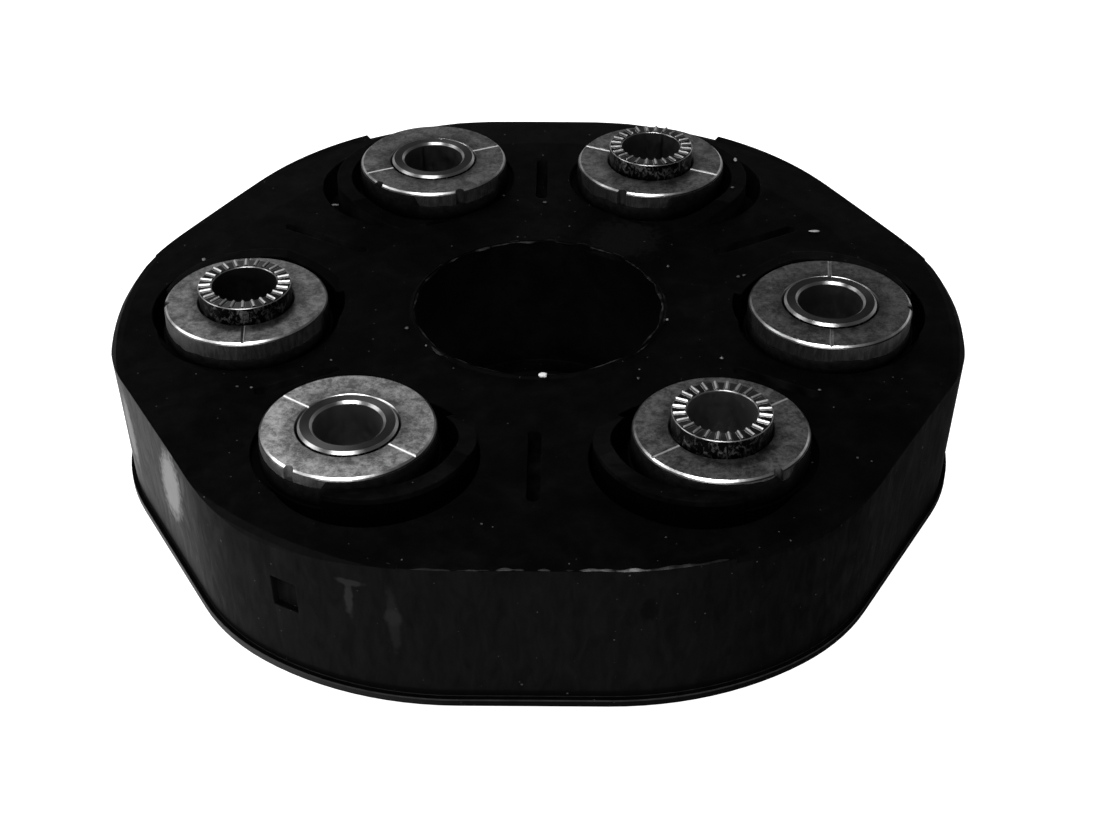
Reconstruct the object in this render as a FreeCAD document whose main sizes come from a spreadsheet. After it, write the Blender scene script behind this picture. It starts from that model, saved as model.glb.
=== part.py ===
import FreeCAD, Part
import math
import os
import Sketcher

# Flexible rubber disc joint of a drive shaft: six steel bushes on one bolt circle, tied in pairs by cord
# packs that are moulded into the rubber. Millimetres; the origin is on the centre hole's axis, halfway up the
# rubber's wall, and +Z points to the side on which bushes 1, 3 and 5 stand proud.

sizes = {
    # bolt pattern
    "boltCircleRadius": 55.0,
    "closeHalfAngle": 24.6,
    "setCount": 3.0,
    # rubber disc
    "wallHeight": 30.0,
    "crownRise": 0.7,
    "crownMargin": 11.0,
    "earMargin": 25.8,
    "closeMargin": 22.35,
    "farMargin": 21.75,
    "wallDraft": 1.3,
    "lipReach": 0.9,
    "lipHeight": 1.5,
    "earRound": 2.6,
    "centreHoleRadius": 23.85,
    "floorRingWidth": 4.2,
    "floorRingHeight": 2.0,
    "rimBeadWidth": 0.7,
    "rimBeadHeight": 0.5,
    # relief round each bush
    "recessMargin": 1.8,
    "recessSeat": 0.5,
    "columnMargin": 0.7,
    "troughRadius": 18.3,
    "troughFarShift": 5.4,
    "troughOutShift": 0.1,
    "troughCover": 2.4,
    "ringInner": 15.2,
    "ringWidth": 3.1,
    "ringInShift": 2.2,
    "ringFarShift": 2.9,
    "ringBelowFace": 1.8,
    "ringStart": 14.0,
    "ringEnd": 160.0,
    "ringSlopeFoot": 17.0,
    "ringSlopeHead": 7.0,
    "ringSlopeReach": 24.0,
    "undersideDepth": 2.0,
    # slots halfway between the bushes
    "slotWidth": 2.3,
    "slotDepth": 5.0,
    "closeSlotInner": 13.5,
    "closeSlotOuter": 3.2,
    "farSlotInner": 15.0,
    "farSlotOuter": 4.8,
    # moulded pocket in the wall by bush 4
    "wallPocketAngle": 239.1,
    "wallPocketSweep": 3.6,
    "wallPocketDepth": 0.7,
    "wallPocketTop": 7.6,
    "wallPocketHeight": 7.6,
    # steel collars
    "collarRadius": 15.2,
    "collarHeight": 6.3,
    "collarChamfer": 0.5,
    "collarStandTop": 5.3,
    "collarStandBottom": 1.3,
    "markWidth": 0.8,
    "markDepth": 0.25,
    "notchRadius": 1.0,
    # steel sleeves
    "sleeveRadius": 8.65,
    "boreRadius": 6.1,
    "sleeveChamfer": 0.45,
    "sleeveProud": 3.3,
    "sleeveShy": 0.5,
    "toothCount": 24.0,
    "toothWidth": 0.95,
    "toothHeight": 0.45,
    "toothedChamfer": 0.12,
    "toothInset": 0.06,
    # cord packs
    "closeCordHeight": 6.8,
    "farCordHeight": 8.0,
    "cordThickness": 4.9,
}

setCount = int(sizes["setCount"])
fullTurn = 360.0

doc = FreeCAD.newDocument("FlexJoint")
sheet = doc.addObject("Spreadsheet::Sheet", "Sizes")
for row, (name, number) in enumerate(sizes.items(), start=1):
    sheet.set("A%d" % row, name)
    sheet.set("B%d" % row, str(number))
    sheet.setAlias("B%d" % row, name)
doc.recompute()


# A length is a pair: its value, and the formula over the sheet that gives it.
def length(*names):
    value = 0.0
    formula = "0 mm"
    for name in names:
        sign = -1.0 if name.startswith("-") else 1.0
        plain = name.lstrip("-")
        value += sign * sheet.get(plain)
        formula += (" - " if sign < 0 else " + ") + "Sizes.%s * 1 mm" % plain
    return value, formula


def scaled(quantity, factor):
    return quantity[0] * factor, "(%s) * %s" % (quantity[1], factor)


def added(first, second):
    return first[0] + second[0], "(%s) + (%s)" % (first[1], second[1])


def product(first, second):
    return first[0] * second[0], "(%s) * (%s)" % (first[1], second[1])


def quotient(first, second):
    return first[0] / second[0], "(%s) / (%s)" % (first[1], second[1])


def alongAxis(radius, angle):
    return radius[0] * math.cos(math.radians(angle[0])), "(%s) * cos(%s)" % (radius[1], angle[1])


def acrossAxis(radius, angle):
    return radius[0] * math.sin(math.radians(angle[0])), "(%s) * sin(%s)" % (radius[1], angle[1])


def rotated(point, angle):
    x, y = point
    across = added(alongAxis(x, angle), scaled(acrossAxis(y, angle), -1))
    return across, added(acrossAxis(x, angle), alongAxis(y, angle))


zero = (0.0, "0 mm")
one = (1.0, "1")
beyond = (2.0, "2 mm")
closeHalf = (sizes["closeHalfAngle"], "Sizes.closeHalfAngle * 1 deg")
farHalf = (180.0 / setCount - closeHalf[0], "(180 / Sizes.setCount - Sizes.closeHalfAngle) * 1 deg")

# Levels, from the wall's two edges outwards to the steel, then inwards through the stack of cord packs.
wallTop = scaled(length("wallHeight"), 0.5)
wallBottom = scaled(length("wallHeight"), -0.5)
crownTop = added(wallTop, length("crownRise"))
crownRadius = length("boltCircleRadius", "crownMargin")
earReach = length("boltCircleRadius", "earMargin")
faceTop = added(wallTop, length("collarStandTop"))
faceBottom = added(wallBottom, length("-collarStandBottom"))
seatTop = added(faceTop, length("-collarHeight"))
seatBottom = added(faceBottom, length("collarHeight"))
stackHeight = added(seatTop, scaled(seatBottom, -1))
cordHeights = length("closeCordHeight", "closeCordHeight", "farCordHeight")
webHeight = scaled(added(stackHeight, scaled(cordHeights, -1)), 0.25)
upperCordBottom = added(seatTop, scaled(added(webHeight, length("closeCordHeight")), -1))
lowerCordBottom = added(seatBottom, webHeight)
farCordBottom = added(added(lowerCordBottom, length("closeCordHeight")), webHeight)
farCordTop = added(farCordBottom, length("farCordHeight"))
sleeveLength = added(added(faceTop, scaled(faceBottom, -1)), length("sleeveProud", "sleeveShy"))


def makeBody(label):
    body = doc.addObject("PartDesign::Body", label)
    body.Label = label
    return body


def originPlane(body, role):
    for feature in body.Origin.OriginFeatures:
        if feature.Role == role:
            return feature
    raise ValueError(role)


def makeSketch(body, name, role="XY_Plane", height=zero, turn=0.0):
    # turn spins the sketch about the disc's axis, so that its first axis points along that angle
    sketch = body.newObject("Sketcher::SketchObject", name)
    sketch.AttachmentSupport = [(originPlane(body, role), "")]
    sketch.MapMode = "FlatFace"
    axis = FreeCAD.Vector(0, 0, 1) if role == "XY_Plane" else FreeCAD.Vector(0, 1, 0)
    offset = FreeCAD.Placement(FreeCAD.Vector(0, 0, 0), FreeCAD.Rotation(axis, turn))
    if role == "XY_Plane":
        offset.Base = FreeCAD.Vector(0, 0, height[0])
    sketch.AttachmentOffset = offset
    if height is not zero:
        sketch.setExpression("AttachmentOffset.Base.z", height[1])
    return sketch


def place(sketch, geometry, position, point, kinds=("DistanceX", "DistanceY")):
    for kind, quantity in zip(("DistanceX", "DistanceY"), point):
        if kind not in kinds:
            continue
        index = sketch.addConstraint(
            Sketcher.Constraint(kind, -1, 1, geometry, position, quantity[0])
        )
        sketch.setExpression("Constraints[%d]" % index, quantity[1])


def addCircle(sketch, centre, radius):
    middle = FreeCAD.Vector(centre[0][0], centre[1][0], 0)
    circle = sketch.addGeometry(Part.Circle(middle, FreeCAD.Vector(0, 0, 1), radius[0]))
    place(sketch, circle, 3, centre)
    index = sketch.addConstraint(Sketcher.Constraint("Radius", circle, radius[0]))
    sketch.setExpression("Constraints[%d]" % index, radius[1])


def addPolygon(sketch, corners):
    points = [FreeCAD.Vector(x[0], y[0], 0) for x, y in corners]
    first = sketch.GeometryCount
    for start, end in zip(points, points[1:] + points[:1]):
        sketch.addGeometry(Part.LineSegment(start, end))
    for number in range(len(points)):
        following = first + (number + 1) % len(points)
        sketch.addConstraint(Sketcher.Constraint("Coincident", first + number, 2, following, 1))
    for number, corner in enumerate(corners):
        place(sketch, first + number, 1, corner)


def addArc(sketch, centre, radius, fromAngle, toAngle):
    middle = FreeCAD.Vector(centre[0][0], centre[1][0], 0)
    circle = Part.Circle(middle, FreeCAD.Vector(0, 0, 1), radius[0])
    arc = sketch.addGeometry(Part.ArcOfCircle(circle, math.radians(fromAngle), math.radians(toAngle)))
    place(sketch, arc, 3, centre)
    index = sketch.addConstraint(Sketcher.Constraint("Radius", arc, radius[0]))
    sketch.setExpression("Constraints[%d]" % index, radius[1])
    return arc


def addSlot(sketch, nearX, farX, radius):
    # a slot lies along the sketch's first axis, between two end centres
    start = addArc(sketch, (nearX, zero), radius, 90.0, 270.0)
    lower = sketch.addGeometry(Part.LineSegment(
        FreeCAD.Vector(nearX[0], -radius[0], 0), FreeCAD.Vector(farX[0], -radius[0], 0)
    ))
    end = addArc(sketch, (farX, zero), radius, -90.0, 90.0)
    upper = sketch.addGeometry(Part.LineSegment(
        FreeCAD.Vector(farX[0], radius[0], 0), FreeCAD.Vector(nearX[0], radius[0], 0)
    ))
    sketch.addConstraint([
        Sketcher.Constraint("Tangent", start, 2, lower, 1),
        Sketcher.Constraint("Tangent", lower, 2, end, 1),
        Sketcher.Constraint("Tangent", end, 2, upper, 1),
        Sketcher.Constraint("Tangent", upper, 2, start, 1),
    ])


def addRingSector(sketch, centre, inner, width, fromAngle, toAngle):
    outer = added(inner, width)
    outerArc = addArc(sketch, centre, outer, fromAngle, toAngle)
    innerArc = addArc(sketch, centre, inner, fromAngle, toAngle)
    ends = []
    for degrees in (fromAngle, toAngle):
        direction = FreeCAD.Vector(math.cos(math.radians(degrees)), math.sin(math.radians(degrees)), 0)
        middle = FreeCAD.Vector(centre[0][0], centre[1][0], 0)
        ends.append(sketch.addGeometry(Part.LineSegment(
            middle + direction * inner[0], middle + direction * outer[0]
        )))
    for line, position in zip(ends, (1, 2)):
        sketch.addConstraint(Sketcher.Constraint("Coincident", line, 1, innerArc, position))
        sketch.addConstraint(Sketcher.Constraint("Coincident", line, 2, outerArc, position))


def bindLength(feature, quantity):
    feature.Length = quantity[0]
    feature.setExpression("Length", quantity[1])


def addPad(body, name, sketch, height):
    pad = body.newObject("PartDesign::Pad", name)
    pad.Profile = sketch
    bindLength(pad, height)
    return pad


def addPocket(body, name, sketch, depth=None, upwards=False):
    # a pocket cuts down from its sketch, or up into the underside
    pocket = body.newObject("PartDesign::Pocket", name)
    pocket.Profile = sketch
    pocket.Reversed = upwards
    if depth is None:
        pocket.Type = "ThroughAll"
    else:
        bindLength(pocket, depth)
    return pocket


def repeat(body, feature, count):
    pattern = body.newObject("PartDesign::PolarPattern", feature.Name + "Round")
    pattern.Originals = [feature]
    pattern.Axis = (originPlane(body, "Z_Axis"), [""])
    pattern.Angle = fullTurn
    pattern.Occurrences = count
    body.Tip = pattern
    doc.recompute()
    return pattern


# The disc's outline: a flat across each gap, and at each bush two arcs that meet on its radius.
def addOutline(sketch, inset):
    ear = added(earReach, scaled(inset, -1))
    flats, peaks, radii = [], [], []
    for number in range(2 * setCount):
        half, margin = (farHalf, "farMargin") if number % 2 else (closeHalf, "closeMargin")
        middle = (90.0 + number * 180.0 / setCount, "(90 + %d * 180 / Sizes.setCount) * 1 deg" % number)
        flat = added(length("boltCircleRadius", margin), scaled(inset, -1))
        cosine = alongAxis(one, half)
        radius = quotient(
            added(flat, scaled(product(ear, cosine), -1)), added(one, scaled(cosine, -1))
        )
        halfFlat = acrossAxis(added(ear, scaled(radius, -1)), half)
        flats.append((rotated((flat, scaled(halfFlat, -1)), middle), rotated((flat, halfFlat), middle)))
        peaks.append(rotated((ear, zero), added(middle, half)))
        radii.append(radius)

    def vector(point):
        return FreeCAD.Vector(point[0][0], point[1][0], 0)

    def joinArc(start, finish, radius, peak):
        # the arc's middle point is found from its radius and the direction of its centre
        centre = vector(peak) * (1.0 - radius[0] / vector(peak).Length)
        chord = (vector(start) + vector(finish)) * 0.5 - centre
        through = centre + chord * (radius[0] / chord.Length)
        arc = sketch.addGeometry(Part.Arc(vector(start), through, vector(finish)))
        index = sketch.addConstraint(Sketcher.Constraint("Radius", arc, radius[0]))
        sketch.setExpression("Constraints[%d]" % index, radius[1])
        return arc

    edges = []
    for number, (start, finish) in enumerate(flats):
        following = (number + 1) % len(flats)
        edges.append((sketch.addGeometry(Part.LineSegment(vector(start), vector(finish))), start))
        edges.append((joinArc(finish, peaks[number], radii[number], peaks[number]), finish))
        arc = joinArc(peaks[number], flats[following][0], radii[following], peaks[number])
        edges.append((arc, peaks[number]))
    for (edge, start), (following, joint) in zip(edges, edges[1:] + edges[:1]):
        sketch.addConstraint(Sketcher.Constraint("Coincident", edge, 2, following, 1))
    for edge, start in edges:
        place(sketch, edge, 1, start)


def addGroove(body, name, sketch, sweep=fullTurn):
    groove = body.newObject("PartDesign::Groove", name)
    groove.Profile = sketch
    groove.ReferenceAxis = (originPlane(body, "Z_Axis"), [""])
    groove.Angle = sweep
    groove.Midplane = sweep < fullTurn
    return groove


# Bushes 1 to 6 run counterclockwise. Each stands towards its close neighbour, so the troughs and rings round
# it lie on the side of its far neighbour: clockwise for the odd bushes, counterclockwise for the even ones.
bushAngles = []
for third in range(setCount):
    gapMiddle = 90.0 + third * fullTurn / setCount
    bushAngles.append(gapMiddle - closeHalf[0])
    bushAngles.append(gapMiddle + closeHalf[0])
bushSets = {"Odd": (bushAngles[0], -1), "Even": (bushAngles[1], 1)}

# Where the top edge is rounded off at each bush: from, to, in degrees round the disc.
roundedEars = [(61.3, 85.0), (95.0, 118.9), (166.0, 200.0), (215.0, 254.2), (294.2, 325.0), (340.0, 374.0)]

boltCircle = length("boltCircleRadius")
troughFloor = added(farCordTop, length("troughCover"))
recessFloor = added(seatTop, length("recessSeat"))
ringTop = added(faceTop, length("-ringBelowFace"))


def drop(fromLevel, toLevel):
    return added(fromLevel, scaled(toLevel, -1))


def makeDisc(body):
    lower = makeSketch(body, "WallFoot", height=wallBottom)
    addOutline(lower, length("wallDraft"))
    upper = makeSketch(body, "WallHead", height=crownTop)
    addOutline(upper, zero)
    wall = body.newObject("PartDesign::AdditiveLoft", "Wall")
    wall.Profile = lower
    wall.Sections = [upper]

    lipSketch = makeSketch(body, "LipOutline", height=wallBottom)
    addOutline(lipSketch, length("wallDraft", "-lipReach"))
    addPad(body, "Lip", lipSketch, length("lipHeight"))

    crown = makeSketch(body, "CrownSlope", "XZ_Plane")
    outside = added(earReach, beyond)
    above = added(crownTop, beyond)
    addPolygon(crown, [
        (crownRadius, crownTop),
        (added(earReach, length("-earRound")), wallTop),
        (outside, wallTop),
        (outside, above),
        (crownRadius, above),
    ])
    addGroove(body, "Crown", crown)


def roundEars(body):
    # the corner is broken in three flats that follow a quarter of a circle
    outside = added(earReach, beyond)
    start = added(earReach, length("-earRound"))
    below = added(wallTop, length("-earRound"))
    above = added(wallTop, beyond)
    corner = []
    for degrees in (0.0, 30.0, 60.0, 90.0):
        angle = (degrees, "%s deg" % degrees)
        across = added(start, alongAxis(length("earRound"), angle))
        corner.append((across, added(below, acrossAxis(length("earRound"), angle))))
    for number, (fromAngle, toAngle) in enumerate(roundedEars, start=1):
        sketch = makeSketch(body, "EarCorner%d" % number, "XZ_Plane", turn=(fromAngle + toAngle) / 2)
        addPolygon(sketch, [(outside, below)] + corner + [(start, above), (outside, above)])
        addGroove(body, "EarRound%d" % number, sketch, toAngle - fromAngle)


def cutCentreHole(body):
    hole = makeSketch(body, "HoleCircle", height=crownTop)
    addCircle(hole, (zero, zero), length("centreHoleRadius"))
    floorRing = added(wallBottom, length("floorRingHeight"))
    addPocket(body, "CentreHole", hole, drop(crownTop, floorRing))
    mouth = makeSketch(body, "FloorRingCircle", height=crownTop)
    addCircle(mouth, (zero, zero), length("centreHoleRadius", "-floorRingWidth"))
    addPocket(body, "HoleMouth", mouth)
    bead = makeSketch(body, "RimBeadSection", "XZ_Plane")
    addPolygon(bead, [
        (length("centreHoleRadius"), crownTop),
        (length("centreHoleRadius", "rimBeadWidth"), crownTop),
        (length("centreHoleRadius"), added(crownTop, length("rimBeadHeight"))),
    ])
    ring = body.newObject("PartDesign::Revolution", "RimBead")
    ring.Profile = bead
    ring.ReferenceAxis = (originPlane(body, "Z_Axis"), [""])
    ring.Angle = fullTurn


def cutSlots(body):
    half = scaled(length("slotWidth"), 0.5)
    for gap, turn in (("close", 90.0), ("far", 90.0 + 180.0 / setCount)):
        for side, level in (("Top", crownTop), ("Under", wallBottom)):
            name = gap.capitalize() + "Slot" + side
            sketch = makeSketch(body, name + "Outline", height=level, turn=turn)
            near = added(length("boltCircleRadius", "-%sSlotInner" % gap), half)
            far = added(length("boltCircleRadius", "%sSlotOuter" % gap), scaled(half, -1))
            addSlot(sketch, near, far, half)
            slot = addPocket(body, name, sketch, length("slotDepth"), side == "Under")
            repeat(body, slot, setCount)


def addBushRelief(body, setName, angle, farSide):
    bush = (boltCircle, zero)

    def circleAt(name, level, centre, radius):
        sketch = makeSketch(body, name + setName, height=level, turn=angle)
        addCircle(sketch, centre, radius)
        return sketch

    recess = circleAt("RecessCircle", crownTop, bush, length("collarRadius", "recessMargin"))
    repeat(body, addPocket(body, "Recess" + setName, recess, drop(crownTop, recessFloor)), setCount)

    troughCentre = (added(boltCircle, length("troughOutShift")), scaled(length("troughFarShift"), farSide))
    trough = circleAt("TroughCircle", crownTop, troughCentre, length("troughRadius"))
    repeat(body, addPocket(body, "Trough" + setName, trough, drop(crownTop, troughFloor)), setCount)

    column = circleAt("ColumnCircle", troughFloor, bush, length("collarRadius", "columnMargin"))
    repeat(body, addPad(body, "Column" + setName, column, drop(recessFloor, troughFloor)), setCount)

    ring = makeSketch(body, "RingSector" + setName, height=troughFloor, turn=angle)
    ringCentre = (added(boltCircle, length("-ringInShift")), scaled(length("ringFarShift"), farSide))
    ends = sorted(farSide * sheet.get(name) for name in ("ringStart", "ringEnd"))
    addRingSector(ring, ringCentre, length("ringInner"), length("ringWidth"), *ends)
    repeat(body, addPad(body, "Ring" + setName, ring, drop(ringTop, troughFloor)), setCount)

    # towards the disc's axis the ring slopes down until it is level with the crown
    slope = makeSketch(body, "RingSlope" + setName, "XZ_Plane", turn=angle)
    foot = length("boltCircleRadius", "-ringSlopeFoot")
    head = length("boltCircleRadius", "-ringSlopeHead")
    inside = length("boltCircleRadius", "-ringSlopeReach")
    above = added(ringTop, beyond)
    addPolygon(slope, [
        (inside, crownTop), (foot, crownTop), (head, ringTop), (head, above), (inside, above)
    ])
    ringReach = length("ringInner", "ringWidth", "ringFarShift")
    cut = addPocket(body, "RingSlopeCut" + setName, slope, scaled(added(ringReach, beyond), 2))
    cut.Midplane = True
    repeat(body, cut, setCount)

    seat = circleAt("SeatCircle", faceTop, bush, length("collarRadius"))
    repeat(body, addPocket(body, "Seat" + setName, seat, length("collarHeight")), setCount)

    under = circleAt("UnderCircle", wallBottom, bush, length("collarRadius", "recessMargin"))
    repeat(body, addPocket(body, "Under" + setName, under, length("undersideDepth"), True), setCount)

    underSeat = circleAt("UnderSeatCircle", wallBottom, bush, length("collarRadius"))
    seatDepth = drop(seatBottom, wallBottom)
    repeat(body, addPocket(body, "UnderSeat" + setName, underSeat, seatDepth, True), setCount)

    through = circleAt("SleeveCircle", faceTop, bush, length("sleeveRadius"))
    repeat(body, addPocket(body, "SleeveHole" + setName, through), setCount)


def cutWallPocket(body):
    # a shallow moulded pocket with a slanted top, low in the wall beside bush 4
    sketch = makeSketch(body, "WallPocketSection", "XZ_Plane", turn=sheet.get("wallPocketAngle"))
    inner = added(earReach, length("-wallDraft", "-wallPocketDepth"))
    outer = added(earReach, beyond)
    upper = added(wallTop, length("-wallPocketTop"))
    lower = added(upper, length("-wallPocketHeight"))
    addPolygon(sketch, [
        (inner, lower),
        (outer, lower),
        (outer, upper),
        (inner, added(upper, scaled(length("wallPocketDepth", "wallDraft"), -1))),
    ])
    addGroove(body, "WallPocket", sketch, sheet.get("wallPocketSweep"))


def makeRubber(cords):
    blank = makeBody("RubberBlank")
    makeDisc(blank)
    roundEars(blank)
    cutCentreHole(blank)
    cutSlots(blank)
    for setName, (angle, farSide) in bushSets.items():
        addBushRelief(blank, setName, angle, farSide)
    cutWallPocket(blank)
    packs = doc.addObject("Part::MultiFuse", "CordPacks")
    packs.Shapes = cords
    rubber = doc.addObject("Part::Cut", "rubber_body")
    rubber.Label = "rubber_body"
    rubber.Base = blank
    rubber.Tool = packs
    return rubber


def makeSleeve(label):
    # a turned steel tube; its proud end has sharper edges and carries radial teeth
    body = makeBody(label)
    section = makeSketch(body, label + "_section", "XZ_Plane")
    bore = length("boreRadius")
    outer = length("sleeveRadius")
    boreEdge = length("boreRadius", "toothedChamfer")
    outerEdge = length("sleeveRadius", "-toothedChamfer")
    lowEdge = length("sleeveChamfer")
    highEdge = added(sleeveLength, length("-toothedChamfer"))
    addPolygon(section, [
        (length("boreRadius", "sleeveChamfer"), zero),
        (length("sleeveRadius", "-sleeveChamfer"), zero),
        (outer, lowEdge),
        (outer, highEdge),
        (outerEdge, sleeveLength),
        (boreEdge, sleeveLength),
        (bore, highEdge),
        (bore, lowEdge),
    ])
    tube = body.newObject("PartDesign::Revolution", label + "_tube")
    tube.Profile = section
    tube.ReferenceAxis = (originPlane(body, "Z_Axis"), [""])
    tube.Angle = fullTurn

    tooth = makeSketch(body, label + "_toothSection", "YZ_Plane")
    toothStart = added(boreEdge, length("toothInset"))
    toothEnd = added(outerEdge, length("-toothInset"))
    tooth.AttachmentOffset = FreeCAD.Placement(FreeCAD.Vector(0, 0, toothStart[0]), FreeCAD.Rotation())
    tooth.setExpression("AttachmentOffset.Base.z", toothStart[1])
    halfWidth = scaled(length("toothWidth"), 0.5)
    addPolygon(tooth, [
        (scaled(halfWidth, -1), sleeveLength),
        (halfWidth, sleeveLength),
        (zero, added(sleeveLength, length("toothHeight"))),
    ])
    bar = addPad(body, label + "_tooth", tooth, drop(toothEnd, toothStart))
    repeat(body, bar, int(sheet.get("toothCount")))
    return body


def makeCollar(label, notchAngles, marked):
    # a thick washer with chamfered edges; a marked one has a fine line across its face and notches in its rim
    body = makeBody(label)
    section = makeSketch(body, label + "_section", "XZ_Plane")
    height = length("collarHeight")
    chamferStart = length("collarHeight", "-collarChamfer")
    addPolygon(section, [
        (length("sleeveRadius"), zero),
        (length("collarRadius"), zero),
        (length("collarRadius"), chamferStart),
        (length("collarRadius", "-collarChamfer"), height),
        (length("sleeveRadius", "collarChamfer"), height),
        (length("sleeveRadius"), chamferStart),
    ])
    washer = body.newObject("PartDesign::Revolution", label + "_washer")
    washer.Profile = section
    washer.ReferenceAxis = (originPlane(body, "Z_Axis"), [""])
    washer.Angle = fullTurn

    if marked:
        mark = makeSketch(body, label + "_markSection", "XZ_Plane")
        halfWidth = scaled(length("markWidth"), 0.5)
        addPolygon(mark, [
            (scaled(halfWidth, -1), height),
            (halfWidth, height),
            (zero, length("collarHeight", "-markDepth")),
        ])
        line = addPocket(body, label + "_mark", mark)
        line.Midplane = True

    for number, degrees in enumerate(notchAngles, start=1):
        notch = makeSketch(body, "%s_notchCircle%d" % (label, number), height=height)
        angle = (degrees, "%s deg" % degrees)
        rim = length("collarRadius")
        addCircle(notch, (alongAxis(rim, angle), acrossAxis(rim, angle)), length("notchRadius"))
        addPocket(body, "%s_notch%d" % (label, number), notch)
    return body


def makeCordPack(label, halfAngle, middleAngle, bottom, height):
    # cord wound round two neighbouring sleeves: a band with straight sides and round ends
    body = makeBody(label)
    sketch = makeSketch(body, label + "_loops", height=bottom, turn=90.0)
    reach = alongAxis(boltCircle, halfAngle)
    offset = sketch.AttachmentOffset
    offset.Base = FreeCAD.Vector(reach[0], 0, bottom[0])
    sketch.AttachmentOffset = offset
    sketch.setExpression("AttachmentOffset.Base.x", reach[1])
    halfSpan = acrossAxis(boltCircle, halfAngle)
    for radius in (length("sleeveRadius"), length("sleeveRadius", "cordThickness")):
        addSlot(sketch, scaled(halfSpan, -1), halfSpan, radius)
    addPad(body, label + "_band", sketch, height)
    body.Placement = FreeCAD.Placement(
        FreeCAD.Vector(0, 0, 0), FreeCAD.Rotation(FreeCAD.Vector(0, 0, 1), middleAngle)
    )
    return body


def bushPlacement(angle, level, upsideDown):
    turned = math.radians(angle)
    radius = sheet.get("boltCircleRadius")
    spin = FreeCAD.Rotation(FreeCAD.Vector(0, 0, 1), angle)
    if upsideDown:
        spin = spin.multiply(FreeCAD.Rotation(FreeCAD.Vector(1, 0, 0), 180))
    base = FreeCAD.Vector(radius * math.cos(turned), radius * math.sin(turned), level)
    return FreeCAD.Placement(base, spin)


cords = []
for third in range(setCount):
    closeMiddle = 90.0 + third * fullTurn / setCount
    farMiddle = closeMiddle + 180.0 / setCount
    number = third + 1
    closeHeight = length("closeCordHeight")
    farHeight = length("farCordHeight")
    for level, bottom in (("upper", upperCordBottom), ("lower", lowerCordBottom)):
        label = "cord_close_%s_%d" % (level, number)
        cords.append(makeCordPack(label, closeHalf, closeMiddle, bottom, closeHeight))
    label = "cord_far_%d" % number
    cords.append(makeCordPack(label, farHalf, farMiddle, farCordBottom, farHeight))

rubber = makeRubber(cords)

# Notches in the upper collars' rims, as angles from the outward direction.
topNotches = [[180.0], [180.0, 110.4], [0.0], [0.0], [0.0], [0.0]]
steel = []
for number, angle in enumerate(bushAngles, start=1):
    sleeve = makeSleeve("sleeve_%d" % number)
    if number % 2:
        sleeve.Placement = bushPlacement(angle, faceBottom[0] - sheet.get("sleeveShy"), False)
    else:
        sleeve.Placement = bushPlacement(angle, faceTop[0] + sheet.get("sleeveShy"), True)
    collarTop = makeCollar("collar_top_%d" % number, topNotches[number - 1], True)
    collarTop.Placement = bushPlacement(angle, seatTop[0], False)
    collarBottom = makeCollar("collar_bottom_%d" % number, [], False)
    collarBottom.Placement = bushPlacement(angle, seatBottom[0], True)
    steel += [sleeve, collarTop, collarBottom]

doc.recompute()

# Nothing is written unless every object is sound and every piece is one valid solid.
for item in doc.Objects:
    if "Invalid" in item.State or "Error" in item.State:
        raise ValueError("%s failed: %s" % (item.Label, item.State))
pieces = [rubber] + steel + cords
for piece in pieces:
    shape = piece.Shape
    if shape.isNull() or not shape.isValid() or len(shape.Solids) != 1:
        raise ValueError("%s is not one valid solid" % piece.Label)

os.makedirs("parts", exist_ok=True)
for piece in pieces:
    piece.Shape.exportStep("parts/%s.step" % piece.Label)
    print("%s %.1f mm3" % (piece.Label, piece.Shape.Volume))
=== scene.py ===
import math
import bmesh
import bpy
from mathutils import Matrix, Vector
from mathutils import noise as noiseTools
from mathutils.bvhtree import BVHTree


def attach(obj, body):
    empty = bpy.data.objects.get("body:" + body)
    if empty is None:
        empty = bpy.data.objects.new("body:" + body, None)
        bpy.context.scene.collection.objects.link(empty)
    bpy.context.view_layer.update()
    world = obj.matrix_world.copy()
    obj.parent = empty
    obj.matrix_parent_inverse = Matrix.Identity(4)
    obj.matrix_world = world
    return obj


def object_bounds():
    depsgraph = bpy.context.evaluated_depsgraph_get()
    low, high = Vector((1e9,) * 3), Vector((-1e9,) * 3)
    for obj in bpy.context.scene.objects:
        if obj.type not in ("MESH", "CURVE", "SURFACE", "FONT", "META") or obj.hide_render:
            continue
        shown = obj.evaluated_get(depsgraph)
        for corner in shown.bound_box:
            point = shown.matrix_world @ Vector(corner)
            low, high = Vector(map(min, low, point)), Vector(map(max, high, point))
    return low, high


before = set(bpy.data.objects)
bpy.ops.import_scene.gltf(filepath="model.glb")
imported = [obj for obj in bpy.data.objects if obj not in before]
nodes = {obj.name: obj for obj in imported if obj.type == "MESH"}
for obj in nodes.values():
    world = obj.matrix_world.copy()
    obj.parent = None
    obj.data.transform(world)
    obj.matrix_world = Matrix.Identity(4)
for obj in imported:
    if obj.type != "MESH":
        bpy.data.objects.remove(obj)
cadLow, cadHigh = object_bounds()
print("frame loaded:", len(nodes), "nodes")

# Camera at the photograph's angle; its place was worked out from the six collars' outlines.
camera = {
    "eye": (0.005403, -0.306018, 0.212535),
    "right": (0.999967958, 0.00794961507, 0.00094181181),
    "up": (-0.00542305, 0.58617315, 0.81016766),
    "back": (0.00588846, -0.81014681, 0.58619747),
    "lens": 61.69,
    "sensor": 36.0,
    "clip": (0.01, 20.0),
}


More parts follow.
